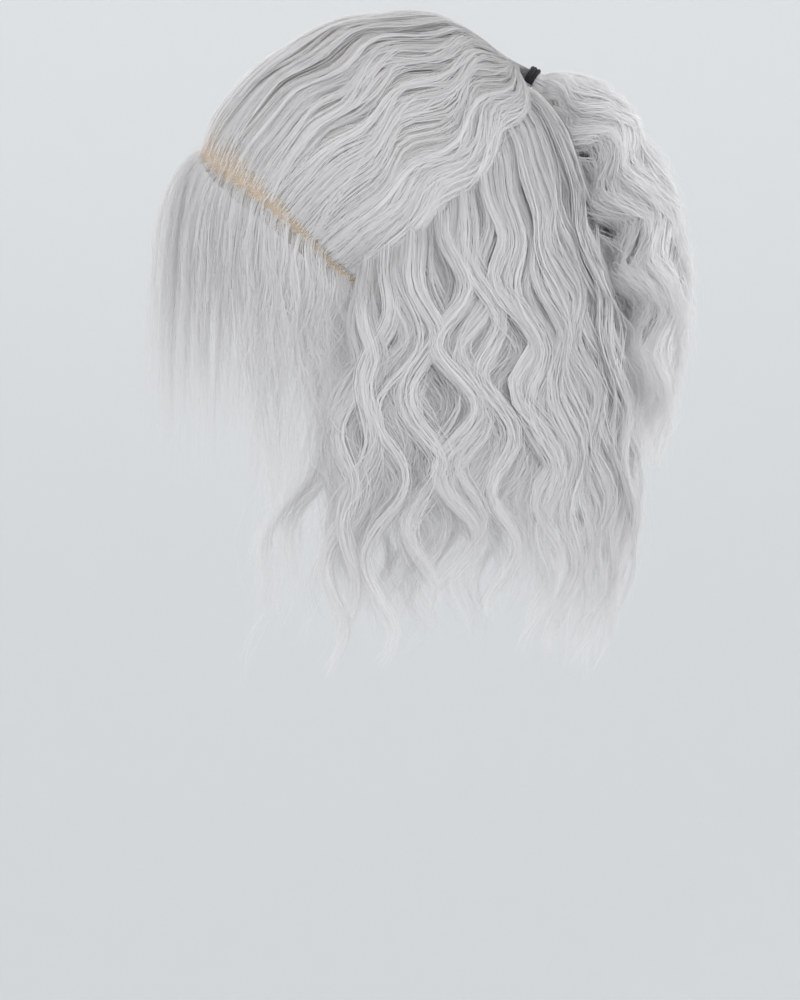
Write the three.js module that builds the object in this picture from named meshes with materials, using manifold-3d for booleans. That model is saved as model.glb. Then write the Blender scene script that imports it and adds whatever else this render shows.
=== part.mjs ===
// A lace front wig in a half-up style: a cap with a lace hairline, hair combed back from it into a tied tail,
// loose wavy hair round the sides and back, and a thin curtain of hair that falls forward off the hairline.
// Millimetres, +Z up. The face looks along -Y and the wearer's left is +X.
// The origin is the inside top of the cap, where it sits on the head.
import * as THREE from "three";
import { ParametricGeometry } from "three/addons/geometries/ParametricGeometry.js";
import { mergeVertices } from "three/addons/utils/BufferGeometryUtils.js";
import Module from "manifold-3d";

const wasm = await Module();
wasm.setup();

// Head that the cap is made for: half its width, half its length, the heights above and below its middle, and
// the share by which the forehead slopes in from a true oval
const HEAD = { halfWidth: 78, halfDepth: 100, rise: 92, fall: 120, slope: 0.035 };
const CAP_WALL = 1.2;
const LACE_WALL = 1.0;
const PIECE_GAP = 0.3;
const SEAT_GAP = 0.6; // hair over the cap, before the flat facets take their share

// The cap's lower edge on one side: azimuth from forehead to nape, and polar angle down from the top
const CAP_EDGE = [
  { azimuth: 0, polar: 73 },
  { azimuth: 21, polar: 80 },
  { azimuth: 36, polar: 87 },
  { azimuth: 47, polar: 94 },
  { azimuth: 60, polar: 105 },
  { azimuth: 71, polar: 116 },
  { azimuth: 83, polar: 124 },
  { azimuth: 96, polar: 115 },
  { azimuth: 110, polar: 112 },
  { azimuth: 128, polar: 121 },
  { azimuth: 150, polar: 129 },
  { azimuth: 180, polar: 132 },
];
const LACE_END = 82; // azimuth of the ear tab, where the lace runs out
const LACE_DEPTH = { front: 17, end: 3 }; // degrees of polar angle
const LACE_SEAM = 0.25; // degrees between the lace and the cap
const LACE_STEPS = 20;
const CAP_BACK_STEPS = 18;

// Hair tie: its middle, and the way the tail leaves it
const TIE = { y: 80, z: -24, slope: -30, hairRadius: 3.4, ringRadius: 4.9, halfBand: 1.2, halfHeight: 2.8 };

// Crown hair, combed from the parting behind the hairline back to the tie
const CROWN = {
  partingBack: 5.5, // degrees behind the edge of the lace
  endAzimuth: 81,
  frontDepth: 2.8,
  topDepth: 6.2,
  backDepth: 11,
  sideDepth: 5.5,
  ridges: 9,
  ridgeHeight: 1.1,
  waves: 3.2,
  waveSwing: 0.045,
};

// Outer surface of the loose hair: half-width at the sides, and reach to the front and back, at each height
const CURTAIN = [
  { z: -20, side: 58, front: 72, back: 72 },
  { z: -40, side: 73, front: 84, back: 88 },
  { z: -65, side: 84, front: 90, back: 100.5 },
  { z: -92, side: 89, front: 92, back: 108 },
  { z: -130, side: 95, front: 92, back: 118 },
  { z: -170, side: 101, front: 92, back: 127 },
  { z: -210, side: 107, front: 92, back: 132.5 },
  { z: -250, side: 111, front: 92, back: 137 },
  { z: -290, side: 112, front: 90, back: 131 },
  { z: -330, side: 108, front: 88, back: 118 },
  { z: -360, side: 104, front: 86, back: 110 },
];
const WAVE_LENGTH = 68;
const PARTING_DROP = 1.5; // degrees of the scalp between the crown hair and the loose hair
const ROOT_POLAR_LEAST = 58; // degrees, the highest the loose hair is rooted at the back

// Loose hair: how many locks, where the first and last start and end round the head, how low their tips hang,
// and where in the wave they are
const LOOSE = {
  left: { locks: 7, roots: [84, 131], tips: [67, 131], tipZ: [-328, -330], phases: [4.1, 6.4] },
  right: { locks: 7, roots: [84, 131], tips: [43, 131], tipZ: [-354, -330], phases: [3.0, 5.2] },
  back: { locks: 8, roots: [134, 226], tips: [134, 226], tipZ: [-330, -330], phases: [6.4, 8.34] },
};
const LOCK = { rootDepth: 2.6, depth: 9, groove: 2.6, notch: 42, swing: 8, stagger: 10, seat: 1.0 };

// Tail: its centre line behind the tie, and half its width and depth there
const TAIL = [
  { y: 91, z: -28.5, halfWidth: 8, halfDepth: 6.5 },
  { y: 103.5, z: -35, halfWidth: 18, halfDepth: 12 },
  { y: 119, z: -53.5, halfWidth: 28, halfDepth: 16.5 },
  { y: 132.5, z: -83, halfWidth: 35, halfDepth: 19.5 },
  { y: 142.5, z: -115, halfWidth: 37, halfDepth: 19.5 },
  { y: 147, z: -149, halfWidth: 36, halfDepth: 17 },
  { y: 146.5, z: -181, halfWidth: 32, halfDepth: 13 },
  { y: 144.5, z: -206, halfWidth: 25, halfDepth: 8.5 },
  { y: 142.5, z: -226, halfWidth: 14, halfDepth: 4 },
];
const TAIL_LOBES = { count: 8, depth: 0.16, twist: 2.6, swing: 4 };

// Front hair: thin strips that fall forward off the edge of the lace
const FRONT = {
  count: 12,
  endAzimuth: 66,
  rootBack: 1.6, // degrees behind the edge of the lace
  bandHalfWidth: 1.3, // degrees
  bandDepth: 1.5,
  tipZ: -236,
  tipStagger: 9,
  standOff: 27, // how far the strips over the forehead swing forward
  endStandOff: 9,
  halfWidth: 6.5,
  halfDepth: 1.1,
};

const HAIR_COLOUR = 0xd4d2d2;
const LACE_COLOUR = 0xd9c0a6;
const CAP_COLOUR = 0xcfcac6;
const TIE_COLOUR = 0x16171b;

const radians = THREE.MathUtils.degToRad;
const smooth = (t) => THREE.MathUtils.smoothstep(t, 0, 1);
const HEAD_MIDDLE = new THREE.Vector3(0, 0, -HEAD.rise);
const UP = new THREE.Vector3(0, 0, 1);

// Value of a table's column at a place along its key, on a smooth curve through the rows
function column(rows, key, name, place) {
  const rising = rows[0][key] < rows.at(-1)[key];
  const at = rows.findIndex((row) => (rising ? row[key] > place : row[key] < place));
  if (at === 0) return rows[0][name];
  if (at < 0) return rows.at(-1)[name];
  const [before, low, high, after] = [at - 2, at - 1, at, at + 1].map(
    (i) => rows[THREE.MathUtils.clamp(i, 0, rows.length - 1)],
  );
  const span = high[key] - low[key];
  const share = (place - low[key]) / span;
  const slopeLow = ((high[name] - before[name]) / (high[key] - before[key])) * span;
  const slopeHigh = ((after[name] - low[name]) / (after[key] - low[key])) * span;
  const s2 = share * share;
  const s3 = s2 * share;
  return (
    (2 * s3 - 3 * s2 + 1) * low[name] +
    (s3 - 2 * s2 + share) * slopeLow +
    (3 * s2 - 2 * s3) * high[name] +
    (s3 - s2) * slopeHigh
  );
}

// Unit vector from the middle of the head. Azimuth 0 is the forehead and 90 the wearer's left
function direction(azimuth, polar) {
  const [a, p] = [radians(azimuth), radians(polar)];
  return new THREE.Vector3(Math.sin(p) * Math.sin(a), -Math.sin(p) * Math.cos(a), Math.cos(p));
}

function headRadius(dir) {
  const half = dir.z > 0 ? HEAD.rise : HEAD.fall;
  const oval = 1 / Math.hypot(dir.x / HEAD.halfWidth, dir.y / HEAD.halfDepth, dir.z / half);
  const forehead = dir.y < 0 && dir.z > 0 ? 4 * dir.y ** 2 * dir.z ** 2 : 0;
  return oval * (1 - HEAD.slope * forehead);
}

function overHead(dir, height) {
  return HEAD_MIDDLE.clone().addScaledVector(dir, headRadius(dir) + height);
}

function slerp(from, to, share) {
  const angle = from.angleTo(to);
  return from
    .clone()
    .multiplyScalar(Math.sin((1 - share) * angle) / Math.sin(angle))
    .addScaledVector(to, Math.sin(share * angle) / Math.sin(angle))
    .normalize();
}

function edgePolar(azimuth) {
  const fromForehead = Math.abs(THREE.MathUtils.euclideanModulo(azimuth + 180, 360) - 180);
  return column(CAP_EDGE, "azimuth", "polar", fromForehead);
}

function laceDepth(azimuth) {
  return THREE.MathUtils.lerp(LACE_DEPTH.front, LACE_DEPTH.end, smooth(Math.abs(azimuth) / LACE_END));
}

// A closed three.js geometry as a solid that can be joined and cut, facing outwards
function solidOf(geometry) {
  geometry.deleteAttribute("normal");
  geometry.deleteAttribute("uv");
  const merged = mergeVertices(geometry, 1e-3);
  const corners = [];
  for (let i = 0; i < merged.index.count; i += 3) {
    const [a, b, c] = [0, 1, 2].map((k) => merged.index.getX(i + k));
    if (a !== b && b !== c && c !== a) corners.push([a, b, c]);
  }
  const build = (faces) =>
    new wasm.Manifold(
      new wasm.Mesh({
        numProp: 3,
        vertProperties: merged.attributes.position.array,
        triVerts: new Uint32Array(faces.flat()),
      }),
    );
  const made = build(corners);
  return made.volume() > 0 ? made : build(corners.map(([a, b, c]) => [a, c, b]));
}

function geometryOf(solid) {
  const { numProp, numVert, vertProperties, triVerts } = solid.getMesh();
  const places = new Float32Array(numVert * 3);
  for (let i = 0; i < numVert; i++) places.set(vertProperties.subarray(i * numProp, i * numProp + 3), i * 3);
  const geometry = new THREE.BufferGeometry();
  geometry.setAttribute("position", new THREE.BufferAttribute(places, 3));
  geometry.setIndex(new THREE.BufferAttribute(triVerts, 1));
  geometry.computeVertexNormals();
  return geometry;
}

// A body with flat ends, from rings of points: ring(turn, along) gives a point, both from 0 to 1
function lofted(ring, sides, steps) {
  const middle = (along) => {
    const sum = new THREE.Vector3();
    for (let i = 0; i < sides; i++) sum.add(ring(i / sides, along));
    return sum.divideScalar(sides);
  };
  const place = (u, v, target) => {
    const station = Math.round(v * (steps + 2));
    if (station === 0) return target.copy(middle(0));
    if (station === steps + 2) return target.copy(middle(1));
    return target.copy(ring(u % 1, (station - 1) / steps));
  };
  return solidOf(new ParametricGeometry(place, sides, steps + 2));
}

// Splits each four-cornered face of a sheet across its shorter diagonal, so that steep steps don't fold
function splitShort(geometry) {
  const corner = (i) => new THREE.Vector3().fromBufferAttribute(geometry.attributes.position, i);
  const faces = Array.from(geometry.index.array);
  for (let i = 0; i < faces.length; i += 6) {
    const [a, b, d, , c] = faces.slice(i, i + 6);
    const shorter = corner(a).distanceTo(corner(c)) < corner(b).distanceTo(corner(d));
    if (shorter) faces.splice(i, 6, a, b, c, a, c, d);
  }
  geometry.setIndex(faces);
  return geometry;
}

// A body between an outer and an inner sheet over the same two parameters, which meet at the first and last v
function between(outer, inner, across, along) {
  const stations = 2 * across + 2;
  const place = (u, v, target) => {
    const station = Math.round(u * stations) % stations;
    const outside = station <= across;
    const share = (outside ? station : stations - 1 - station) / across;
    return target.copy(outside && v > 0 && v < 1 ? outer(share, v) : inner(share, v));
  };
  return solidOf(splitShort(new ParametricGeometry(place, stations, along)));
}

// The wefted cap: one wall from the top of the head out to the lower edge, and back inside
function capSolid() {
  const [turns, steps] = [LACE_STEPS + CAP_BACK_STEPS, 8];
  const azimuthAt = (station) => {
    const lace = LACE_END * ((2 * station) / LACE_STEPS - 1);
    const back = LACE_END + ((360 - 2 * LACE_END) * (station - LACE_STEPS)) / CAP_BACK_STEPS;
    return station <= LACE_STEPS ? lace : back;
  };
  const place = (u, v, target) => {
    const station = Math.round(u * turns) % turns;
    const azimuth = azimuthAt(station);
    const edge = edgePolar(azimuth) - (station <= LACE_STEPS ? laceDepth(azimuth) + LACE_SEAM : 0);
    const layer = Math.round(v * (2 * steps + 1));
    const outside = layer <= steps;
    const reach = (outside ? layer : 2 * steps + 1 - layer) / steps;
    return target.copy(overHead(direction(azimuth, reach * edge), outside ? CAP_WALL : 0));
  };
  return solidOf(new ParametricGeometry(place, turns, 2 * steps + 1));
}

// Corner ring of a flat strip: out along one face and back along the other
function stripRing(turn, sides) {
  const station = Math.round(turn * sides);
  const half = sides / 2;
  const outside = station < half;
  const share = (outside ? station : sides - 1 - station) / (half - 1);
  return { outside, share };
}

// The lace panel along the hairline, from ear tab to ear tab
function laceSolid() {
  const sides = 8;
  const ring = (turn, along) => {
    const { outside, share } = stripRing(turn, sides);
    const azimuth = LACE_END * (2 * along - 1);
    const polar = edgePolar(azimuth) - laceDepth(azimuth) * share;
    return overHead(direction(azimuth, polar), outside ? LACE_WALL : 0);
  };
  return lofted(ring, sides, LACE_STEPS);
}

// Frame of the tie: the way the hair runs through it
const TIE_AXIS = new THREE.Vector3(0, Math.cos(radians(TIE.slope)), Math.sin(radians(TIE.slope)));
const TIE_MIDDLE = new THREE.Vector3(0, TIE.y, TIE.z);
const GATHER = TIE_MIDDLE.clone().addScaledVector(TIE_AXIS, -6);
const GATHER_DIRECTION = GATHER.clone().sub(HEAD_MIDDLE).normalize();
const GATHER_HEIGHT = GATHER.distanceTo(HEAD_MIDDLE) - headRadius(GATHER_DIRECTION);

// Direction of the crown hair: side runs from -1 at the right temple to 1 at the left, flow back to the tie
function crownDirection(side, flow) {
  const azimuth = CROWN.endAzimuth * side;
  const start = direction(azimuth, edgePolar(azimuth) - CROWN.partingBack);
  return slerp(start, GATHER_DIRECTION, flow);
}

function crownHair() {
  const [across, along] = [13, 32];
  const gathered = (flow) => smooth((flow - 0.72) / 0.28);
  const over = (v, flow, height) =>
    overHead(crownDirection(2 * v - 1, flow), THREE.MathUtils.lerp(height, GATHER_HEIGHT, gathered(flow)));
  const inner = (flow, v) => over(v, flow, CAP_WALL + SEAT_GAP);
  const outer = (flow, v) => {
    const side = 2 * v - 1;
    const edge = Math.sqrt(1 - Math.abs(side) ** 7) * smooth(flow / 0.08 + 0.15);
    const front = THREE.MathUtils.lerp(CROWN.frontDepth, CROWN.topDepth, smooth(flow / 0.45));
    const middle = THREE.MathUtils.lerp(front, CROWN.backDepth, smooth((flow - 0.45) / 0.35));
    const depth = THREE.MathUtils.lerp(middle, CROWN.sideDepth, side ** 2);
    const bend = CROWN.waveSwing * Math.sin(2 * Math.PI * CROWN.waves * flow) * smooth(flow / 0.3);
    const ridge = CROWN.ridgeHeight * Math.cos(Math.PI * CROWN.ridges * (side + bend)) * smooth(flow / 0.25);
    return over(v, flow, CAP_WALL + SEAT_GAP + (depth + ridge) * edge);
  };
  const stubStart = GATHER.clone().addScaledVector(TIE_AXIS, -3);
  const stubEnd = TIE_MIDDLE.clone().addScaledVector(TIE_AXIS, -PIECE_GAP / 2);
  return between(outer, inner, across, along).add(bundle(stubStart, stubEnd));
}

// Round bundle of hair between two points on the tie's axis
function bundle(from, to) {
  const [sides, steps] = [12, 2];
  const sideways = new THREE.Vector3(1, 0, 0);
  const upwards = TIE_AXIS.clone().cross(sideways).negate();
  const ring = (turn, along) =>
    from
      .clone()
      .lerp(to, along)
      .addScaledVector(sideways, TIE.hairRadius * Math.cos(2 * Math.PI * turn))
      .addScaledVector(upwards, TIE.hairRadius * Math.sin(2 * Math.PI * turn));
  return lofted(ring, sides, steps);
}

// Polar angle of the crown hair's lower edge at an azimuth, found by halving the flow
function partingPolar(azimuth) {
  const side = azimuth <= 180 ? 1 : -1;
  const wanted = side > 0 ? azimuth : 360 - azimuth;
  let [low, high] = [0, 1];
  for (let i = 0; i < 24; i++) {
    const flow = (low + high) / 2;
    const dir = crownDirection(1, flow);
    const reached = THREE.MathUtils.radToDeg(Math.atan2(dir.x, -dir.y));
    if (reached < wanted) low = flow;
    else high = flow;
  }
  return THREE.MathUtils.radToDeg(Math.acos(crownDirection(1, low).z));
}

// Point on the loose hair's outer surface, taken in by a depth
function onCurtain(azimuth, z, depth) {
  const [side, front, back] = ["side", "front", "back"].map((name) => column(CURTAIN, "z", name, z) - depth);
  const a = radians(azimuth);
  return new THREE.Vector3(side * Math.sin(a), -(Math.cos(a) > 0 ? front : back) * Math.cos(a), z);
}

// Point level with a height on the head, moved outwards
function onScalp(azimuth, z, height) {
  const away = z + HEAD.rise;
  const share = Math.sqrt(Math.max(0, 1 - (away / (away > 0 ? HEAD.rise : HEAD.fall)) ** 2));
  const a = radians(azimuth);
  const [x, y] = [HEAD.halfWidth * share + height, HEAD.halfDepth * share + height];
  return new THREE.Vector3(x * Math.sin(a), -y * Math.cos(a), z);
}

const MIRROR = new THREE.Vector3(-1, 1, 1);

// Loose hair of one side: a sheet rooted on the cap, grooved into locks that swing and part at the tips
function looseHair({ locks, roots, tips, tipZ, phases }, mirrored) {
  const [across, along] = [14, 4 * locks];
  const { lerp } = THREE.MathUtils;
  const topZ = (azimuth) => {
    const polar = Math.max(partingPolar(azimuth) + PARTING_DROP, ROOT_POLAR_LEAST);
    return overHead(direction(azimuth, polar), CAP_WALL).z;
  };
  const place = (share, v, outside) => {
    const ridge = 0.5 - 0.5 * Math.cos(2 * Math.PI * locks * v);
    const stagger = LOCK.stagger * Math.cos(2.4 * Math.floor(v * locks));
    const root = topZ(lerp(roots[0], roots[1], v));
    const hang = lerp(tipZ[0], tipZ[1], v);
    const z = lerp(root, hang, share) + share * lerp(LOCK.notch, stagger, ridge);
    const fall = (root - z) / (root - hang);
    const wave = Math.sin((-2 * Math.PI * z) / WAVE_LENGTH + lerp(phases[0], phases[1], v));
    const swing = LOCK.swing * smooth(fall / 0.35) * wave;
    const hanging = lerp(lerp(roots[0], roots[1], v), lerp(tips[0], tips[1], v), smooth(fall));
    const azimuth = hanging + THREE.MathUtils.radToDeg(swing / column(CURTAIN, "z", "side", z));
    const full = lerp(LOCK.rootDepth, LOCK.depth, smooth((share - 0.12) / 0.45));
    const depth = full * (1 - 0.6 * smooth((share - 0.6) / 0.4));
    const groove = LOCK.groove * (1 - ridge) * smooth(share / 0.3);
    const seated = onScalp(azimuth, z, CAP_WALL + LOCK.seat + (outside ? depth : 0));
    const point = seated.lerp(onCurtain(azimuth, z, outside ? groove : groove + depth), smooth(share / 0.22));
    return mirrored ? point.multiply(MIRROR) : point;
  };
  const outer = (share, v) => place(share, v, true);
  const inner = (share, v) => place(share, v, false);
  return between(outer, inner, across, along);
}

// The tail behind the tie: a lobed body that swings as it falls
function tailHair() {
  const [sides, steps] = [24, 17];
  const start = TIE_MIDDLE.clone().addScaledVector(TIE_AXIS, PIECE_GAP / 2);
  const neck = start.clone().addScaledVector(TIE_AXIS, TIE.halfHeight + 1.5);
  const tied = { halfWidth: TIE.hairRadius, halfDepth: TIE.hairRadius };
  const rows = [start, neck].map(({ y, z }) => ({ y, z, ...tied })).concat(TAIL);
  const stations = rows.map((row, place) => ({ ...row, place: place / (rows.length - 1) }));
  const value = (name, along) => column(stations, "place", name, along);
  const loose = (along) => smooth((along - 0.15) / 0.25);
  const centre = (along) => {
    const swing = TAIL_LOBES.swing * Math.sin(2 * Math.PI * 2.2 * along) * loose(along);
    return new THREE.Vector3(swing, value("y", along), value("z", along));
  };
  const ring = (turn, along) => {
    const way = centre(Math.min(1, along + 0.02)).sub(centre(Math.max(0, along - 0.02))).normalize();
    const sideways = new THREE.Vector3(1, 0, 0).addScaledVector(way, -way.x).normalize();
    const backwards = sideways.clone().cross(way).normalize();
    const angle = 2 * Math.PI * turn;
    const lobe = Math.cos(TAIL_LOBES.count * angle + TAIL_LOBES.twist * Math.sin(2 * Math.PI * 2.5 * along));
    const size = 1 + TAIL_LOBES.depth * lobe * loose(along);
    return centre(along)
      .addScaledVector(sideways, value("halfWidth", along) * size * Math.cos(angle))
      .addScaledVector(backwards, value("halfDepth", along) * size * Math.sin(angle));
  };
  return lofted(ring, sides, steps);
}

// Elastic tie round the gathered hair
function tieGeometry() {
  const [corners, turns] = [8, 16];
  const profile = [];
  for (let i = 0; i <= corners; i++) {
    const angle = (2 * Math.PI * i) / corners;
    const radius = TIE.ringRadius + TIE.halfBand * Math.cos(angle);
    profile.push(new THREE.Vector2(radius, TIE.halfHeight * Math.sin(angle)));
  }
  return new THREE.LatheGeometry(profile, turns);
}

// One thin strip of front hair, off the lace and down in front of the face
function frontStrip(azimuth, index) {
  const [sides, steps] = [4, 8];
  const rootHeight = LACE_WALL + SEAT_GAP + FRONT.bandDepth / 2;
  const root = overHead(direction(azimuth, edgePolar(azimuth) - FRONT.rootBack), rootHeight);
  const forward = direction(azimuth, 90);
  const across = UP.clone().cross(forward);
  const standOff = THREE.MathUtils.lerp(FRONT.standOff, FRONT.endStandOff, smooth(Math.abs(azimuth) / 50));
  const drop = root.z - FRONT.tipZ + FRONT.tipStagger * Math.cos(2.4 * index);
  const centre = (along) =>
    root
      .clone()
      .addScaledVector(forward, standOff * (1 - Math.exp(-4 * along)))
      .addScaledVector(across, 3 * Math.sin(6 * along + index) * along)
      .addScaledVector(UP, -drop * along ** 1.4);
  const ring = (turn, along) => {
    const way = centre(along + 0.02).sub(centre(along - 0.02 * Math.sign(along))).normalize();
    const facing = across.clone().cross(way).normalize();
    const taper = (0.45 + 0.55 * smooth(along / 0.3)) * (1 - 0.7 * smooth((along - 0.5) / 0.5));
    const angle = 2 * Math.PI * turn;
    return centre(along)
      .addScaledVector(across, FRONT.halfWidth * taper * Math.cos(angle))
      .addScaledVector(facing, FRONT.halfDepth * Math.sqrt(taper) * Math.sin(angle));
  };
  return lofted(ring, sides, steps);
}

// Rooting band of the front hair, along the edge of the lace
function frontBand() {
  const [sides, steps] = [6, 24];
  const ring = (turn, along) => {
    const { outside, share } = stripRing(turn, sides);
    const azimuth = (FRONT.endAzimuth + 4) * (2 * along - 1);
    const polar = edgePolar(azimuth) - FRONT.rootBack + FRONT.bandHalfWidth * (1 - 2 * share);
    return overHead(direction(azimuth, polar), LACE_WALL + SEAT_GAP + (outside ? FRONT.bandDepth : 0));
  };
  return lofted(ring, sides, steps);
}

function frontHair() {
  let joined = frontBand();
  for (let i = 0; i < FRONT.count; i++) {
    const azimuth = THREE.MathUtils.lerp(-FRONT.endAzimuth, FRONT.endAzimuth, i / (FRONT.count - 1));
    joined = joined.add(frontStrip(azimuth, i));
  }
  return joined;
}

function material(color, roughness) {
  return new THREE.MeshStandardMaterial({ color, roughness, metalness: 0 });
}

const HAIR = material(HAIR_COLOUR, 0.5);
const LACE = material(LACE_COLOUR, 0.85);
const CAP = material(CAP_COLOUR, 0.9);
const ELASTIC = material(TIE_COLOUR, 0.8);

const wig = new THREE.Group();

function place(name, geometry, finish) {
  const mesh = new THREE.Mesh(geometry, finish);
  mesh.name = name;
  wig.add(mesh);
  return mesh;
}

place("cap", geometryOf(capSolid()), CAP);
place("lace_front", geometryOf(laceSolid()), LACE);
place("crown_hair", geometryOf(crownHair()), HAIR);
place("tail_hair", geometryOf(tailHair()), HAIR);
place("left_hair", geometryOf(looseHair(LOOSE.left, false)), HAIR);
place("right_hair", geometryOf(looseHair(LOOSE.right, true)), HAIR);
place("back_hair", geometryOf(looseHair(LOOSE.back, false)), HAIR);
place("front_hair", geometryOf(frontHair()), HAIR);
const tie = place("hair_tie", tieGeometry(), ELASTIC);
tie.quaternion.setFromUnitVectors(new THREE.Vector3(0, 1, 0), TIE_AXIS);
tie.position.copy(TIE_MIDDLE);

export default wig;
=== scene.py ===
"""Looks of a silver lace front wig: strands in locks over a wefted cap, a lace hairline and an elastic tie.

Shapes are worked out in millimetres, +Z up, the front along -Y and the wig's own left along +X, and scaled to
metres as they go into their meshes.
"""

import bmesh
import bpy
import numpy as np
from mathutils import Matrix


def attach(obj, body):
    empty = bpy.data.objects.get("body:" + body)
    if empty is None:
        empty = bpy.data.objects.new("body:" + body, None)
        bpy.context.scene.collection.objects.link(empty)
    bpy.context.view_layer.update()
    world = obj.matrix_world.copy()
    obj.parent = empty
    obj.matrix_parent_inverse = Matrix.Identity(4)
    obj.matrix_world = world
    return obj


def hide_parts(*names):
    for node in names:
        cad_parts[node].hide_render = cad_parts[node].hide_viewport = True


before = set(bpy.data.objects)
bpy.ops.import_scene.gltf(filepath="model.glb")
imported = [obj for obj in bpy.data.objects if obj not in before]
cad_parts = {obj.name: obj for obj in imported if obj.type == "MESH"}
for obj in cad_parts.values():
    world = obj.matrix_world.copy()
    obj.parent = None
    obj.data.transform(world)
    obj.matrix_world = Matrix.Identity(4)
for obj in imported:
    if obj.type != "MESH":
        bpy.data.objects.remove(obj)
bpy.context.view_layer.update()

bl_info = {
    "name": "Lace front wig",
    "version": (1, 0, 0),
    "blender": (4, 5, 0),
    "location": "3D View > Sidebar > Wig",
    "description": "Strands, lace, cap and tie of a half-up wavy wig",
    "category": "Object",
}

MM, TURN = 0.001, 2 * np.pi

# ---------------------------------------------------------------- sizes, in millimetres and degrees

INSIDE_WIDTH, INSIDE_DEPTH, INSIDE_RISE, INSIDE_FALL = 78.0, 100.0, 92.0, 120.0
FRONT_SLOPE = 0.035
INSIDE_MIDDLE = np.array((0.0, 0.0, -INSIDE_RISE))
CAP_WALL, LACE_WALL, SEAT_GAP = 1.2, 1.0, 0.6

CAP_EDGE = {
    "azimuth": (0, 21, 36, 47, 60, 71, 83, 96, 110, 128, 150, 180),
    "polar": (73, 80, 87, 94, 105, 116, 124, 115, 112, 121, 129, 132),
}
LACE_END, LACE_FRONT_DEPTH, LACE_END_DEPTH, LACE_SEAM = 82.0, 17.0, 3.0, 0.25

TIE_MIDDLE = np.array((0.0, 80.0, -24.0))
TIE_AXIS = np.array((0.0, np.cos(np.radians(-30)), np.sin(np.radians(-30))))
TIE_RING, TIE_CORD, TIE_TURN, TIE_HAIR, GATHER_AHEAD = 4.75, 1.2, 1.65, 3.3, 6.0

PARTING_BACK, CROWN_END = 2.2, 81.0
CROWN_WAVE, CROWN_SWING = 56.0, 5.4
CROWN_THIN, CROWN_TOP, CROWN_FULL, CROWN_SIDE = 2.8, 6.2, 11.0, 5.5

CURTAIN = {
    "z": (-360, -330, -290, -250, -210, -170, -130, -92, -65, -40, -20),
    "side": (104, 108, 112, 111, 107, 101, 95, 89, 84, 73, 58),
    "front": (86, 88, 90, 92, 92, 92, 92, 92, 90, 84, 72),
    "back": (110, 118, 131, 137, 132.5, 127, 118, 108, 100.5, 88, 72),
}
PARTING_DROP, ROOT_POLAR_LEAST, LOCK_SEAT = -4.5, 47.0, 0.8
# Loose strands are painted darker the deeper their lock lies: painted shade inside the hair, lightest for
# locks set outermost
DEEPEST_LOCK, OUTER_TONE, PAINTED_SHADE_BY_DEPTH = 9.6, 0.96, 0.07
FLYAWAY_MOST = 7.5  # furthest that a strand's own sway goes

# Locks that lie outermost on the left, from front to back
LEFT_LOCKS = {
    "root": (88, 92, 95, 101, 107.5, 114, 122, 128),
    "tip": (74, 80, 88, 100, 107, 118, 131, 130),
    "tip_z": (-336, -318, -330, -306, -290, -310, -312, -326),
    "wave": (66, 70, 74, 65, 64, 58, 56, 60),
    "crest": (-246, -222, -240, -230, -203, -216, -223, -234),
    "swing": (8, 6, 9, 7, 9, 7, 8, 6),
    "depth": (0.8, 0.8, 0.8, 0.8, 0.8, 0.8, 0.8, 0.8),
}
# Locks that lie outermost at the back, from left to right
BACK_LOCKS = {
    "root": (137, 141, 150, 156, 162, 199, 206, 213, 221),
    "tip": (138, 150, 156, 163, 168, 194, 204, 216, 222),
    "tip_z": (-330, -330, -340, -338, -330, -334, -340, -330, -332),
    "wave": (60, 50, 55, 57, 54, 56, 52, 58, 60),
    "crest": (-225, -196, -182, -208, -186, -200, -188, -214, -226),
    "swing": (6, 7, 7, 8, 8, 8, 7, 7, 7),
    "depth": (0.8, 0.8, 0.5, -2.5, -2.5, -2.5, -2.0, 0.5, 0.8),
}
# Waves that the smaller locks share with their neighbours: length, height of a crest and swing to the side
WAVES = {
    "azimuth": (84, 95, 101, 107.5, 122, 134, 141, 150, 165, 180, 200, 226),
    "wave": (66, 72, 65, 64, 57, 58, 52, 55, 58, 60, 58, 60),
    "crest": (-250, -240, -230, -205, -222, -225, -198, -190, -205, -215, -200, -225),
    "swing": (8, 9, 7, 9, 8, 6, 7, 7, 7, 6, 7, 8),
}
# Smaller locks: how many, the azimuths of the first and last root and of their tips, and the tips' heights.
# Then come the shift of the crests, the shares of flyaways and the depths, where they aren't the usual ones.
LEFT_SMALL = ((52, (84, 134.5), (72, 132), (-316, -306)),)
RIGHT_SMALL = (
    (50, (84, 134.5), (70, 132), (-334, -316), 16.0),
    (6, (84, 98), (30, 62), (-352, -338), 16.0, (0.85, 0.95), (0.5, 2.5)),
)
BACK_SMALL = (
    (38, (131, 229), (135, 226), (-332, -330)),
    (9, (132, 176), (138, 174), (-330, -322), 0.0, (0.3, 1.0), (0.2, 2.6)),
    (5, (186, 220), (188, 220), (-330, -326), 0.0, (0.3, 1.0), (0.2, 2.6)),
    (4, (154, 170), (156, 169), (-318, -310), 0.0, (0.4, 0.4), (-5.5, -2.0)),
    (2, (192, 204), (193, 203), (-314, -310), 0.0, (0.4, 0.4), (-4.5, -2.0)),
)

TAIL_LINE = {
    "y": (80.5, 86, 91, 103.5, 119, 132.5, 142.5, 147, 146.5, 144.5, 142.5),
    "z": (-24.3, -27, -28.5, -35, -53.5, -83, -115, -149, -181, -206, -232),
    "half_width": (3.3, 4.5, 8, 18, 28, 35, 37, 36, 33, 28, 22),
    "half_depth": (3.3, 4.5, 6.5, 12, 16.5, 19.5, 19, 16.5, 12.5, 9.5, 7),
}

FRONT_END, FRONT_TIP_Z, FRONT_REACH, FRONT_END_REACH = 80.0, -228.0, 27.0, 9.0
WISP_START, WISP_SHARE = 46.0, 0.34  # long thin locks at the sides: from which azimuth, and how many

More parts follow.
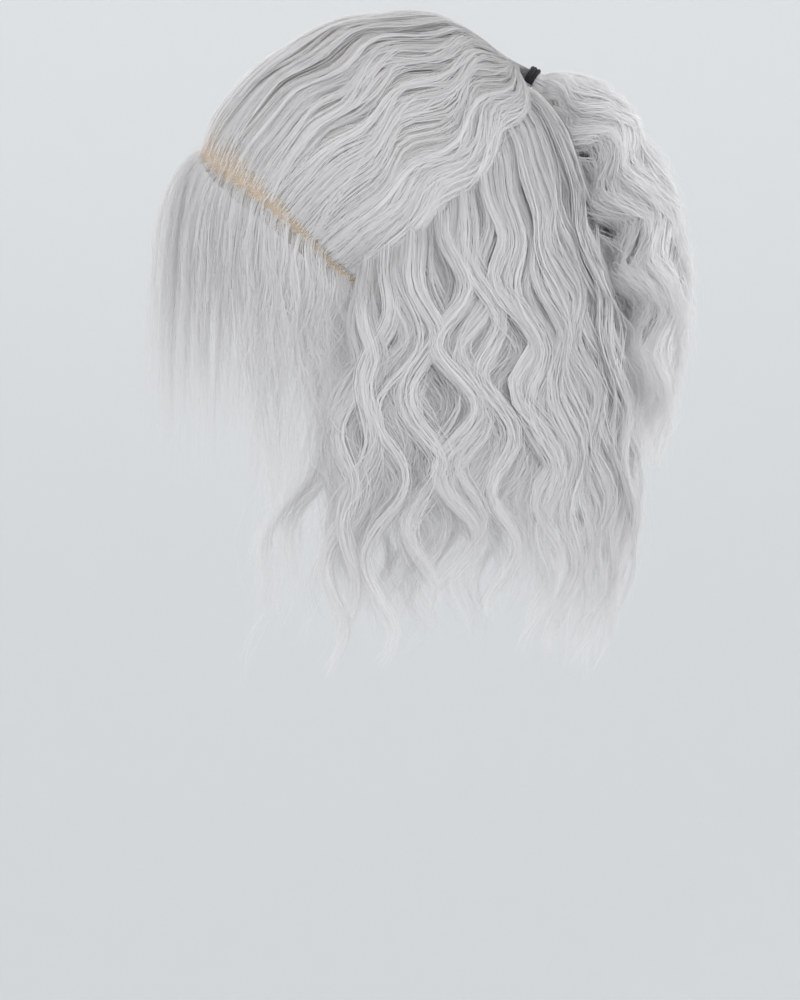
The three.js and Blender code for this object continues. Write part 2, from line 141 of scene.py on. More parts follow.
WEFT_ROW, STITCH, NET_PITCH = 9.0, 1.6, 1.3  # how far apart the cap's wefts, stitches and threads are
BRAID = 9.0  # turns of yarn to a unit of the tie's map
CAP_ROUND, LACE_ROUND, FALL_ROUND = 88.0, 86.0, 95.0  # radii that make lengths of angles on the maps

# Random draws of each group, how much darker it gets to the tip (painted shade on the crown towards the tie;
# below none on the tail, which gets lighter), and the least and most of a strand's width
CROWN_SEED, TAIL_SEED, LOOSE_SEED, FRONT_SEED = 11, 23, 37, 53
CROWN_TIP_SHADE, TAIL_TIP_DARKENING = 0.48, -0.1
LET_THROUGH = 0.5  # share of the light on a strand that goes through it
TIED_WIDTHS, LOOSE_WIDTHS, FRONT_WIDTHS = (0.75, 1.2), (0.7, 1.15), (0.7, 1.2)
LOOSE_STEPS = 28

# Soft lights: name, place in metres, turn, size, and power as a share of the key light's
LIGHTS = (
    ("key_light", (3.0, 0.4, 0.9), (69, 0, 97), 2.4, 1.0),
    ("fill_light", (-2.0, -0.6, 1.2), (58, 0, -73), 1.8, 0.75),
    ("front_light", (0.5, -2.8, 0.5), (76, 0, 10), 1.8, 0.45),
    ("back_light", (0.9, 2.7, 0.5), (76, 0, 162), 1.8, 0.6),
)
AIR_COLOUR = (1.0, 0.995, 0.99, 1.0)
CAMERA_AT, CAMERA_TURN, CAMERA_LENS, CAMERA_SENSOR = (1.5, 0.0106, -0.248), (90, 0, 90), 101.9, 36.0

UP, SIDEWAYS = np.array((0.0, 0.0, 1.0)), np.array((1.0, 0.0, 0.0))
TIE_UP = np.cross(SIDEWAYS, TIE_AXIS)


# ---------------------------------------------------------------- curves and surfaces

def smooth(t):
    """Eases from 0 to 1: t squared times (3 - 2t), held at both ends."""
    t = np.clip(t, 0.0, 1.0)
    return t * t * (3 - 2 * t)


def lerp(a, b, t):
    """Straight mix of a and b."""
    return a + (b - a) * t


def unit(v):
    """Vectors brought to length 1."""
    return v / np.maximum(np.linalg.norm(v, axis=-1, keepdims=True), 1e-9)


def stacked(*parts):
    """Numbers brought to one shape and put side by side as points or corners."""
    return np.stack(np.broadcast_arrays(*parts), axis=-1)


def through(table, key, name, place):
    """A table's column at a place along its key: cubics, with slopes from the row before to the row after."""
    keys, values = np.asarray(table[key], float), np.asarray(table[name], float)
    row = np.arange(len(keys))
    before, after = np.maximum(row - 1, 0), np.minimum(row + 1, len(keys) - 1)
    slope = (values[after] - values[before]) / (keys[after] - keys[before])
    place = np.clip(place, keys[0], keys[-1])
    low = np.clip(np.searchsorted(keys, place, side="right") - 1, 0, len(keys) - 2)
    span = keys[low + 1] - keys[low]
    t = (place - keys[low]) / span
    return (
        (2 * t**3 - 3 * t**2 + 1) * values[low]
        + (t**3 - 2 * t**2 + t) * span * slope[low]
        + (3 * t**2 - 2 * t**3) * values[low + 1]
        + (t**3 - t**2) * span * slope[low + 1]
    )


def direction(azimuth, polar):
    """Unit vector at an azimuth from the front round to the left and a polar angle down from the top."""
    a, p = np.radians(azimuth), np.radians(polar)
    return stacked(np.sin(p) * np.sin(a), -np.sin(p) * np.cos(a), np.cos(p))


def inside_radius(way):
    """Distance from the middle of the cap to its inside: an oval, flattened a little high up in front."""
    x, y, z = np.moveaxis(way, -1, 0)
    height = np.where(z > 0, INSIDE_RISE, INSIDE_FALL)
    oval = 1 / np.sqrt((x / INSIDE_WIDTH)**2 + (y / INSIDE_DEPTH)**2 + (z / height)**2)
    high_front = np.where((y < 0) & (z > 0), 4 * y**2 * z**2, 0)
    return oval * (1 - FRONT_SLOPE * high_front)


def over_inside(way, height):
    """Point above the cap's inside along a direction from its middle."""
    return INSIDE_MIDDLE + way * (inside_radius(way) + height)[..., None]


def edge_polar(azimuth):
    """Polar angle of the cap's lower edge, the same on both sides."""
    folded = np.abs((np.asarray(azimuth, float) + 180) % 360 - 180)
    return through(CAP_EDGE, "azimuth", "polar", folded)


def lace_depth(azimuth):
    """How far the lace reaches back from its edge, in degrees."""
    return lerp(LACE_FRONT_DEPTH, LACE_END_DEPTH, smooth(np.abs(azimuth) / LACE_END))


GATHER = TIE_MIDDLE - GATHER_AHEAD * TIE_AXIS
GATHER_WAY = unit(GATHER - INSIDE_MIDDLE)
GATHER_HEIGHT = float(np.linalg.norm(GATHER - INSIDE_MIDDLE) - inside_radius(GATHER_WAY))


def crown_way(side, flow):
    """Great circle from the parting, at a side from -1 right to 1 left, to the gather above the tie."""
    azimuth = CROWN_END * side
    start = direction(azimuth, edge_polar(azimuth) - PARTING_BACK)
    angle = np.arccos(np.clip((start * GATHER_WAY).sum(-1), -1, 1))
    near, far = np.sin((1 - flow) * angle) / np.sin(angle), np.sin(flow * angle) / np.sin(angle)
    return unit(start * near[..., None] + GATHER_WAY * far[..., None])


def parting_polar(azimuth):
    """Polar angle of the crown hair's lower edge, read off its own great circle."""
    way = crown_way(np.ones(240), np.linspace(0, 1, 240))
    reached = np.degrees(np.arctan2(way[:, 0], -way[:, 1]))
    folded = np.abs((np.asarray(azimuth, float) + 180) % 360 - 180)
    return np.interp(folded, reached, np.degrees(np.arccos(way[:, 2])))


def on_curtain(azimuth, z, depth):
    """Point on the loose hair's outer oval at a height, taken in by a depth."""
    a = np.radians(azimuth)
    side, front, back = (through(CURTAIN, "z", name, z) - depth for name in ("side", "front", "back"))
    return stacked(side * np.sin(a), -np.where(np.cos(a) > 0, front, back) * np.cos(a), z)


def on_inside(azimuth, z, height):
    """Point at a level on the oval of the cap's inside, moved outwards by a height."""
    away = z + INSIDE_RISE
    share = np.sqrt(np.maximum(0, 1 - (away / np.where(away > 0, INSIDE_RISE, INSIDE_FALL))**2))
    a = np.radians(azimuth)
    side, front = INSIDE_WIDTH * share + height, INSIDE_DEPTH * share + height
    return stacked(side * np.sin(a), -front * np.cos(a), z)


# ---------------------------------------------------------------- strands

def frame_of(path, outward):
    """Along, across and facing directions of each path; facing is square to the path and nearest outward."""
    along = unit(np.gradient(path, axis=1))
    across = unit(np.cross(outward, along))
    return along, across, np.cross(along, across)


def tuft(path, outward, count, wide, deep, turns, rng):
    """Each path split into finer ones over an oval section that turns along the way.

    A finer path lies at a radius and an angle of the oval: across by wide times the cosine, out by deep times
    the sine. Returns the paths, the way each faces, tilted with its place across, and its place in and out.
    """
    locks, steps, _ = path.shape
    _, across, facing = frame_of(path, outward)
    share = np.linspace(0, 1, steps)
    angle = rng.uniform(0, TURN, (locks, count, 1))
    radius = 1.2 * rng.beta(1.5, 1.5, (locks, count, 1))
    turn = angle + TURN * rng.uniform(-turns, turns, (locks, 1, 1)) * share
    a, b = radius * np.cos(turn), radius * np.sin(turn)
    fine = path[:, None] + across[:, None] * (a * wide)[..., None] + facing[:, None] * (b * deep)[..., None]
    tilt = np.radians(30) * a[..., None]
    faces = facing[:, None] * np.cos(tilt) + across[:, None] * np.sin(tilt)
    shape = (locks * count, steps)
    return fine.reshape(*shape, 3), faces.reshape(*shape, 3), b.reshape(shape)


def frizz(path, outward, size, rng):
    """Each strand strays from its lock by two sines of its own, more towards the tip."""
    count, steps, _ = path.shape
    _, across, facing = frame_of(path, outward)
    share = np.linspace(0, 1, steps)
    reach = np.minimum(size * rng.exponential(1.0, (count, 1)), FLYAWAY_MOST)
    grow = reach * smooth(share / 0.6) * (0.4 + share)
    one, two = (
        np.sin(TURN * (rng.uniform(0.8, 4.2, (count, 1)) * share + rng.uniform(0, 1, (count, 1))))
        for _ in range(2)
    )
    return path + across * (grow * one)[..., None] + facing * (0.7 * grow * two)[..., None]


def haze(rng, count, share):
    """Which strands are flyaways: how much further they stray than the rest, and how much finer they are."""
    loose = rng.random(count) < share
    return np.where(loose, 2.4 + 4.6 * rng.beta(1.0, 2.0, count), 1.0)[:, None], np.where(loose, 0.55, 1.0)


def cut(path, start, end):
    """Paths that keep only the share of their length from start to end, with as many points."""
    count, steps, _ = path.shape
    at = lerp(start[:, None], end[:, None], np.linspace(0, 1, steps)) * (steps - 1)
    low = np.clip(at.astype(int), 0, steps - 2)
    rows = np.arange(count)[:, None]
    return lerp(path[rows, low], path[rows, low + 1], (at - low)[..., None])


def fray(rng, count, least):
    """Where strands end along their lock: most near the tip, some well short of it."""
    return lerp(1.0, least, rng.beta(1.0, 2.2, count))


def strand_mesh(name, path, outward, width, tone):
    """Flat ribbons along the paths, widest at a third of the way and fine at the tip.

    A ribbon's edges lie half a width to each side, square to the path and to the way it faces. The map OFBake
    holds the strand's tone across and its share of the length along.
    """
    count, steps, _ = path.shape
    share = np.linspace(0, 1, steps)
    _, across, _ = frame_of(path, outward)
    taper = (0.65 + 0.35 * smooth(share / 0.3)) * (1 - 0.72 * smooth((share - 0.55) / 0.45))
    half = across * (np.asarray(width)[:, None] * taper)[..., None] / 2
    corners = np.stack((path + half, path - half), axis=2).reshape(-1, 3) * MM
    first = 2 * (np.arange(count)[:, None] * steps + np.arange(steps - 1))
    quads = stacked(first, first + 1, first + 3, first + 2)
    tones = np.clip(tone, 0.03, 0.97)[:, None, None] + np.array((0.02, -0.02, -0.02, 0.02))
    along = share[:-1, None] + np.array((0, 0, 1, 1)) / (steps - 1)
    uv = stacked(tones, along)
    return mesh_of(name, corners, quads.reshape(-1, 4), uv.reshape(-1, 2))


def mesh_of(name, corners, quads, uv):
    """Mesh from whole arrays: places in metres, four-cornered faces, and a place on the map per corner."""
    mesh = bpy.data.meshes.new(name)
    mesh.vertices.add(len(corners))
    mesh.vertices.foreach_set("co", np.ascontiguousarray(corners, np.float32).ravel())
    mesh.loops.add(quads.size)
    mesh.loops.foreach_set("vertex_index", np.ascontiguousarray(quads, np.int32).ravel())
    mesh.polygons.add(len(quads))
    mesh.polygons.foreach_set("loop_start", np.arange(0, quads.size, 4, dtype=np.int32))
    layer = mesh.uv_layers.new(name="OFBake")
    layer.data.foreach_set("uv", np.ascontiguousarray(uv, np.float32).ravel())
    mesh.polygons.foreach_set("use_smooth", np.ones(len(quads), bool))
    mesh.update(calc_edges=True)
    mesh.validate()
    return mesh


def grid_quads(rows, columns):
    """Faces of a grid, by the places of their four neighbouring points."""
    first = np.arange(rows - 1)[:, None] * columns + np.arange(columns - 1)
    return stacked(first, first + 1, first + columns + 1, first + columns).reshape(-1, 4)


def grid_mesh(name, points, uv):
    """Mesh of a grid of points, four neighbours to a face."""
    quads = grid_quads(*points.shape[:2])
    return mesh_of(name, points.reshape(-1, 3) * MM, quads, uv.reshape(-1, 2)[quads].reshape(-1, 2))


def welded(mesh):
    """A mesh with rows that meet themselves made one, and its faces turned outwards."""
    work = bmesh.new()
    work.from_mesh(mesh)
    bmesh.ops.remove_doubles(work, verts=work.verts, dist=1e-6)
    bmesh.ops.recalc_face_normals(work, faces=work.faces)
    work.to_mesh(mesh)
    work.free()
    return mesh


def place(mesh, node, slot, finish):
    """Puts a mesh into the scene as the piece that stands for a CAD node."""
    piece = bpy.data.objects.new(mesh.name, mesh)
    bpy.context.scene.collection.objects.link(piece)
    mesh.materials.append(finish)
    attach(piece, "root")
    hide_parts(node)
    return piece


# ---------------------------------------------------------------- finishes

class Socket:
    """An output of a material's nodes, which can be used in sums."""

    def __init__(self, finish, output):
        self.finish, self.output = finish, output

    def math(self, operation, first, second):
        """A Math node on two values."""
        return self.finish.node("ShaderNodeMath", {"operation": operation}, {0: first, 1: second})

    def __add__(self, other):
        return self.math("ADD", self, other)

    def __sub__(self, other):
        return self.math("SUBTRACT", self, other)

    def __rsub__(self, other):
        return self.math("SUBTRACT", other, self)

    def __mul__(self, other):
        return self.math("MULTIPLY", self, other)

    __radd__, __rmul__ = __add__, __mul__


class Finish:
    """A material under construction."""

    def __init__(self, name):
        self.material = bpy.data.materials.new(name)
        self.material.use_nodes = True
        self.tree = self.material.node_tree
        self.tree.nodes.clear()

    def node(self, kind, settings, inputs, result=0):
        """Adds a node: its settings first, then its sockets' values or links. Returns one of its outputs."""
        made = self.tree.nodes.new(kind)
        for name, value in settings.items():
            setattr(made, name, value)
        for name, value in inputs.items():
            if isinstance(value, Socket):
                self.tree.links.new(value.output, made.inputs[name])
            else:
                made.inputs[name].default_value = value
        return Socket(self, made.outputs[result]) if len(made.outputs) else made

    def map(self):
        """The piece's own map, as its two coordinates and the whole."""
        whole = self.node("ShaderNodeUVMap", {"uv_map": "OFBake"}, {})
        apart = [self.node("ShaderNodeSeparateXYZ", {}, {0: whole}, result) for result in (0, 1)]
        return apart[0], apart[1], whole

    def scaled(self, vector, by):
        """A vector multiplied by three numbers."""
        return self.node("ShaderNodeVectorMath", {"operation": "MULTIPLY"}, {0: vector, 1: by})

    def noise(self, vector, scale, detail=2.0):
        """Smooth noise from 0 to 1."""
        return self.node("ShaderNodeTexNoise", {}, {"Vector": vector, "Scale": scale, "Detail": detail})

    def blend(self, share, low, high):
        """Mix of two colours by a share."""
        settings = {"data_type": "RGBA", "clamp_factor": True}
        return self.node("ShaderNodeMix", settings, {0: share, 6: low, 7: high}, 2)

    def step(self, value, low, high):
        """Rises smoothly from 0 at low to 1 at high."""
        settings = {"interpolation_type": "SMOOTHSTEP"}
        return self.node("ShaderNodeMapRange", settings, {"Value": value, "From Min": low, "From Max": high})

    def sine(self, value):
        """Sine of a value, from -1 to 1."""
        return self.node("ShaderNodeMath", {"operation": "SINE"}, {0: value})

    def bump(self, height, distance, strength):
        """Normal bent by a height."""
        return self.node("ShaderNodeBump", {}, {"Height": height, "Distance": distance, "Strength": strength})

    def close(self, let_through=None, **sockets):
        """Ends the material in one surface shader, with a share of light let through in a colour if asked."""
        names = {name.replace("_", " "): value for name, value in sockets.items()}
        shader = self.node("ShaderNodeBsdfPrincipled", {}, names)
        if let_through:
            share, colour = let_through
            behind = self.node("ShaderNodeBsdfTranslucent", {}, {"Color": colour})
            shader = self.node("ShaderNodeMixShader", {}, {0: share, 1: shader, 2: behind})
        self.node("ShaderNodeOutputMaterial", {}, {"Surface": shader})
        return self.material


def rgba(colour, times=1.0):
    """A colour property made darker or lighter, with full cover."""
    return (*(times * c for c in colour), 1.0)


def hair_finish(name, tip_darkening=0.0, lift=0.0):
    """Fibre, made once: each strand's tone, its own and its painted shade, flecked along it and painted
    darker at the root as shade near the cap.

    A tip darkening makes it darker towards the tip, painted shade on the crown, and a lift lightens it all
    over as painted light.
    """
    made = bpy.data.materials.get(name)
    if made:
        return made
    finish = Finish(name)
    # Painted light: a lift makes both ends of the tone lighter
    light, shade = (rgba(colour, 1 + lift) for colour in (settings().hair_light, settings().hair_shade))
    tone, along, whole = finish.map()
    fleck = finish.noise(finish.scaled(whole, (70.0, 7.0, 1.0)), 1.0, 3.0)
    # Painted shade: darker near the root, where strands leave the cap under other hair, and darker or lighter
    # towards the tip by the tip darkening
    root = 1 - finish.step(along, 0.0, 0.16)
    share = tone + (fleck - 0.5) * 0.34 - root * 0.08 - along * tip_darkening
    colour = finish.blend(share, shade, light)
    return finish.close((LET_THROUGH, light), Base_Color=colour, Roughness=0.42 + fleck * 0.2)


def lace_finish(colour):
    """Fine net: six-sided holes between threads, with a knot here and there."""
    finish = Finish("lace_net")
    _, _, whole = finish.map()
    thread = finish.node(
        "ShaderNodeTexVoronoi",
        {"feature": "DISTANCE_TO_EDGE", "voronoi_dimensions": "2D"},
        {"Vector": whole, "Scale": 1.15, "Randomness": 0.25},
    )
    net = 1 - finish.step(thread, 0.10, 0.24)
    knots = finish.node(
        "ShaderNodeTexVoronoi",
        {"voronoi_dimensions": "2D"},
        {"Vector": whole, "Scale": 0.62, "Randomness": 0.6},
    )
    knot = 1 - finish.step(knots, 0.16, 0.30)
    cloud = finish.noise(whole, 0.35)
    tint = finish.blend(knot * 0.8 + cloud * 0.4, rgba(colour), rgba(colour, 0.72))
    cover = 0.62 + net * 0.38
    return finish.close(
        Base_Color=tint, Roughness=0.7 + cloud * 0.2, Alpha=cover, Normal=finish.bump(net + knot, 0.0002, 0.6)
    )


def cap_finish(colour, thread):
    """Stretch net with rows of sewn weft: a stitched band every few millimetres and a fine mesh between, with
    painted shade in the net's holes and in the hollows between stitches.
    """
    finish = Finish("cap_net")
    run, fall, whole = finish.map()
    row = finish.sine(fall * (TURN / WEFT_ROW))
    band = finish.step(row, 0.25, 0.75)
    stitch = finish.step(finish.sine(run * (TURN / STITCH) + row * 2.0), -0.2, 0.7)
    pitch = TURN / NET_PITCH
    mesh = finish.sine((run + fall) * pitch) * finish.sine((run - fall) * pitch)
    net = finish.step(mesh, -0.35, 0.25)
    cloud = finish.noise(whole, 0.12)
    # Painted shade: the net darker in its holes than on its threads, and the stitches darker in the hollows
    # between them than on their crests
    shaded_net = finish.blend(net * 0.7 + cloud * 0.4, rgba(colour, 0.55), rgba(colour))
    sewn = finish.blend(stitch, rgba(thread, 0.58), rgba(thread, 0.72))
    height = net * 0.25 * (1 - band) + band * (0.7 + stitch * 0.3)
    return finish.close(
        Base_Color=finish.blend(band, shaded_net, sewn),
        Roughness=0.65 + cloud * 0.25,
        Normal=finish.bump(height, 0.0008, 0.8),
    )


def elastic_finish(colour):
    """Braided elastic: yarns that wind both ways round the cord, with dull high points, painted darker in the
    grooves between yarns.
    """
    finish = Finish("braided_elastic")
    run, turn, whole = finish.map()
    one = finish.sine((run * BRAID + turn) * TURN)
    two = finish.sine((run * BRAID - turn) * TURN)
    yarn = finish.step(one * two, -0.5, 0.6)
    crest_noise = finish.noise(whole, 14.0)
    # Painted shade: darker in the grooves between yarns, less of it on the crests by an uneven amount
    tint = finish.blend(yarn * (0.35 + crest_noise * 0.5), rgba(colour, 0.4), rgba(colour))
    return finish.close(Base_Color=tint, Roughness=0.55 + yarn * 0.2, Normal=finish.bump(yarn, 0.0003, 0.9))


def paint_finish(colour):
    """Matt studio paint with the faintest unevenness, and painted light that makes it lighter higher up."""
    finish = Finish("studio_paint")
    spot = finish.node("ShaderNodeTexCoord", {}, {}, 3)
    cloud = finish.noise(spot, 1.2)
    height = finish.node("ShaderNodeSeparateXYZ", {}, {0: spot}, 2)
    # Painted light: up to a tenth lighter from half a metre below the middle to almost a metre above, with a
    # faint random cloud
    share = finish.step(height, -0.5, 0.9) * 0.95 + cloud * 0.05
    tint = finish.blend(share, rgba(colour), rgba(colour, 1.1))
    return finish.close(Base_Color=tint, Roughness=0.9 + cloud * 0.05)


# ---------------------------------------------------------------- settings

class WigSettings(bpy.types.PropertyGroup):
    """Sizes, colours and lights that a user would change"""

    strand_width: bpy.props.FloatProperty(
        name="Strand width", description="Widest part of a strand", default=0.00042, min=0.0001, unit="LENGTH"
    )
    fringe_width: bpy.props.FloatProperty(
        name="Fringe strand width", description="Widest part of a fine strand at the front",
        default=0.00030, min=0.0001, unit="LENGTH",
    )
    frizz: bpy.props.FloatProperty(
        name="Frizz", description="How far strands stray from their lock", default=0.0015,
        min=0.0, unit="LENGTH",
    )
    # The ends of each strand's tone: the light end for lit outer strands, the shade end for painted shade on
    # deep ones, as well as each strand's own random tone
    hair_light: bpy.props.FloatVectorProperty(
        name="Hair light", description="Lightest fibre", default=(0.85, 0.845, 0.85),
        subtype="COLOR", min=0, max=1,
    )
    hair_shade: bpy.props.FloatVectorProperty(
        name="Hair shade", description="Darkest fibre", default=(0.41, 0.405, 0.405),
        subtype="COLOR", min=0, max=1,
    )
    # Painted light: the crown and tail fibre is made lighter than the loose, standing in for light on the
    # same fibre
    tied_painted_light: bpy.props.FloatProperty(
        name="Tied hair lift", description="How much lighter the tied hair is than the loose", default=0.10,
        min=0, max=0.15, subtype="FACTOR",
    )
    lace_colour: bpy.props.FloatVectorProperty(
        name="Lace", description="Thread of the lace", default=(0.66, 0.54, 0.425),
        subtype="COLOR", min=0, max=1,
    )
    cap_colour: bpy.props.FloatVectorProperty(
        name="Cap", description="Thread of the cap's net", default=(0.68, 0.665, 0.65),
        subtype="COLOR", min=0, max=1,
    )
    tie_colour: bpy.props.FloatVectorProperty(
        name="Tie", description="Yarn of the hair tie", default=(0.020, 0.021, 0.026),
        subtype="COLOR", min=0, max=1,
    )
    paint_colour: bpy.props.FloatVectorProperty(
        name="Studio", description="Paint of the floor and wall", default=(0.735, 0.749, 0.759),
        subtype="COLOR", min=0, max=1,
    )
    sky: bpy.props.FloatProperty(name="Fill light", description="Light from all round", default=0.75, min=0)
    key_power: bpy.props.FloatProperty(
        name="Key light", description="Power of the large soft light", default=45.0, min=0, unit="POWER"
    )


def settings():
    """The scene's own values."""
    return bpy.context.scene.wig


# ---------------------------------------------------------------- pieces

def cap_points(turns=152, steps=40):
    """The cap's wall: out over the crown from the top to the edge, round it, and back inside to the top.

    A point is at an azimuth and a share of the edge's polar angle, a wall's thickness up outside and none
    inside. In front the edge stops short of the lace.
    """
    azimuth = np.linspace(-180, 180, turns + 1)[:, None]
    edge = edge_polar(azimuth) - np.where(np.abs(azimuth) <= LACE_END, lace_depth(azimuth) + LACE_SEAM, 0)
    reach = np.concatenate((np.linspace(0, 1, steps), np.linspace(1, 0, steps)))
    height = np.concatenate((np.full(steps, CAP_WALL), np.zeros(steps)))
    polar = edge * reach
    points = over_inside(direction(azimuth, polar), np.broadcast_to(height, polar.shape))
    run = np.radians(azimuth) * CAP_ROUND * np.sin(np.radians(np.maximum(polar, 4)))
    fall = np.radians(polar) * FALL_ROUND
    return points, stacked(run, fall)


def lace_points(along=220, across=24):
    """The lace: one fine sheet along the front, from tab to tab, its edge cut with a slight wander."""
    azimuth = np.linspace(-LACE_END, LACE_END, along)[:, None]
    share = np.linspace(0, 1, across)
    wander = 0.25 * np.sin(azimuth * 1.9) + 0.18 * np.sin(azimuth * 4.3 + 1)
    polar = edge_polar(azimuth) - lace_depth(azimuth) * share + (0.8 + wander) * (1 - share)
    points = over_inside(direction(azimuth, polar), np.full(polar.shape, LACE_WALL / 2))
    run = np.radians(azimuth) * LACE_ROUND * np.ones_like(share)
    fall = np.radians(polar) * FALL_ROUND
    return points, stacked(run, fall)


def crown_depth(side, flow):
    """Thickness of the crown hair: thin at the parting, full over the top and back, thinner at the sides."""
    front = lerp(CROWN_THIN, CROWN_TOP, smooth(flow / 0.45))
    middle = lerp(front, CROWN_FULL, smooth((flow - 0.45) / 0.35))
    rolled = np.sqrt(1 - np.abs(side).clip(0, 1)**7 * 0.8)
    return lerp(middle, CROWN_SIDE, side**2) * rolled * smooth(flow / 0.1 + 0.15)


def crown_locks(side, drift, layer, phase, swing, steps):
    """Paths of crown locks along great circles from the parting to the tie.

    Each drifts a little to one side and back, is lifted by its layer's share of the depth, swung sideways by
    a sine of its length, and led onto the tie's axis over its last part.
    """
    share = np.linspace(0, 1, steps)
    flow = np.broadcast_to(np.minimum(share / 0.96, 1), (len(side), steps))
    side, drift, layer, phase, swing = (v[:, None] for v in (side, drift, layer, phase, swing))
    way = crown_way(side + drift * 4 * flow * (1 - flow), flow)
    lift = CAP_WALL + SEAT_GAP + layer * crown_depth(side, flow)
    height = lerp(lift, GATHER_HEIGHT, smooth((flow - 0.72) / 0.28))
    path = over_inside(way, height)
    _, across, _ = frame_of(path, way)
    length = np.cumsum(np.linalg.norm(np.diff(path, axis=1, prepend=path[:, :1]), axis=-1), axis=1)
    beat = TURN * length / CROWN_WAVE + phase
    waved = smooth((flow - 0.12) / 0.3) * (1 - smooth((flow - 0.74) / 0.2))
    path = path + across * (swing * waved * np.sin(beat))[..., None]
    way = unit(path - INSIDE_MIDDLE)
    path = over_inside(way, height + 0.8 * waved * np.cos(beat))
    led = TIE_MIDDLE + TIE_AXIS * lerp(-26, 1.2, (share - 0.8) / 0.2)[:, None]
    return lerp(path, led, smooth((share - 0.8) / 0.17)[:, None]), way


def crown_strands(rng, steps=24):
    """Crown strands: many small locks that cross at different heights.

    They are flat at the parting and drawn in at the tie. The outermost at each side lie thicker and make the
    rolled lower edge.
    """
    main, rolled, each = 280, 10, 12
    side = np.linspace(-1, 1, main) + rng.normal(0, 0.012, main)
    side = np.concatenate((side, np.linspace(-1.025, -0.985, rolled), np.linspace(0.985, 1.025, rolled)))
    count = len(side)
    layer = np.where(np.abs(side) > 0.98, rng.uniform(0.8, 1.5, count), rng.beta(1.5, 1.0, count))
    phase = TURN * (1.1 * side + 0.22 * np.sin(9 * side)) + rng.normal(0, 0.45, count)
    drift, swing = rng.normal(0, 0.032, count), CROWN_SWING * rng.uniform(0.6, 1.25, count)
    path, way = crown_locks(side, drift, layer, phase, swing, steps)
    share = np.linspace(0, 1, steps)
    drawn = 1 - 0.9 * smooth((share - 0.62) / 0.3)
    half = lerp(5.0, 2.5, smooth((share - 0.06) / 0.4)) * drawn
    path, facing, inner = tuft(path, way, each, half, lerp(0.35, 0.9, smooth(share / 0.4)) * drawn, 0.6, rng)
    angle, radius = rng.uniform(0, TURN, len(path)), TIE_HAIR * np.sqrt(rng.uniform(0, 1, len(path)))
    ring = np.outer(radius * np.cos(angle), SIDEWAYS) + np.outer(radius * np.sin(angle), TIE_UP)
    path = path + ring[:, None] * smooth((share - 0.82) / 0.14)[:, None]
    further, fine = haze(rng, len(path), 0.14)
    path = frizz(path, facing, 0.5 * np.minimum(further, 2.4) * (1 - smooth((share - 0.7) / 0.2)), rng)
    early = rng.random(len(path)) < 0.24
    nearer = np.repeat(lerp(1.0, 0.4, smooth((np.abs(side) - 0.35) / 0.5)), each)
    start = np.where(early, rng.uniform(0, 0.035, len(path)), 0.02 + 0.08 * rng.beta(1.6, 2.0, len(path)))
    path = cut(path, start * nearer, np.ones(len(path)))
    # Painted shade and light: lighter the higher a lock lies and on the outer side of each lock, with a tone
    # of its own and one for each strand
    lock = np.repeat(rng.normal(0, 0.09, count), each)
    tone = 0.56 + 0.30 * np.repeat(layer.clip(0, 1), each) + lock
    return path, facing, tone + 0.06 * inner.mean(1) + rng.normal(0, 0.13, len(path)), fine


def join(*tables):
    """Tables of locks put one after another."""
    return {name: np.concatenate([np.asarray(t[name], float) for t in tables]) for name in tables[0]}


def outer_locks(table):
    """A table of locks that lie outermost, each listed twice so that it is full."""
    count = len(table["root"])
    same = {"roll": 2.4, "half": 6.6, "haze": 0.11}
    named = {**table, **{name: np.full(count, value) for name, value in same.items()}}
    return join(named, named)


def small_locks(
    rng, count, roots, tips, tip_z, shift=0.0, loose=(0.15, 0.6), depths=(2.4, DEEPEST_LOCK)
):
    """A table of smaller locks over a range of depths, spread from one azimuth to another.

    Each takes its neighbours' wave, a little off, and its own length, and has more flyaways the deeper it is.
    """
    along = rng.permutation((np.arange(count) + rng.uniform(0, 1, count)) / count)
    root = lerp(*roots, along)
    depth = np.linspace(*depths, count)
    inside = np.maximum(depth, 0) / DEEPEST_LOCK
    return {
        "root": root,
        "tip": lerp(*tips, along) + rng.normal(0, 3.0, count),
        "tip_z": lerp(*tip_z, along) + rng.uniform(-12, 42, count),
        "wave": through(WAVES, "azimuth", "wave", root) * rng.uniform(0.94, 1.06, count),
        "crest": through(WAVES, "azimuth", "crest", root) + shift + rng.normal(0, 5, count),
        "swing": through(WAVES, "azimuth", "swing", root) * rng.uniform(0.6, 1.15, count),
        "depth": depth,
        "roll": rng.uniform(0.6, 2.2, count),
        "half": lerp(3.4, 6.5, inside) * rng.uniform(0.75, 1.25, count),
        "haze": lerp(*loose, inside),
    }


def loose_locks(table, steps):
    """Paths of loose locks: off the cap under the crown hair's edge, out to the curtain and down it in waves.

    The azimuth eases from root to tip and swings by a cosine of the height with its crest at a given height,
    and the depth rolls by the sine, so that a lock winds as it falls.
    """
    row = {name: values[:, None] for name, values in table.items()}
    share = np.linspace(0, 1, steps)
    polar = np.maximum(parting_polar(row["root"]) + PARTING_DROP, ROOT_POLAR_LEAST)
    root_z = over_inside(direction(row["root"], polar), np.full(polar.shape, CAP_WALL))[..., 2]
    z = lerp(root_z, row["tip_z"], share)
    beat = TURN * (z - row["crest"]) / row["wave"]
    swing = row["swing"] * smooth(share / 0.32) * np.cos(beat)
    swung = np.degrees(swing / through(CURTAIN, "z", "side", z))
    azimuth = lerp(row["root"], row["tip"], smooth(share)) + swung
    depth = row["depth"] + row["roll"] * smooth(share / 0.3) * (0.5 - 0.5 * np.sin(beat))
    seat = CAP_WALL + LOCK_SEAT + np.maximum(0, 3.2 - 0.4 * row["depth"]) * smooth(share / 0.04)
    out = smooth(share / 0.17)[:, None]
    return lerp(on_inside(azimuth, z, seat), on_curtain(azimuth, z, depth), out), direction(azimuth, 84)


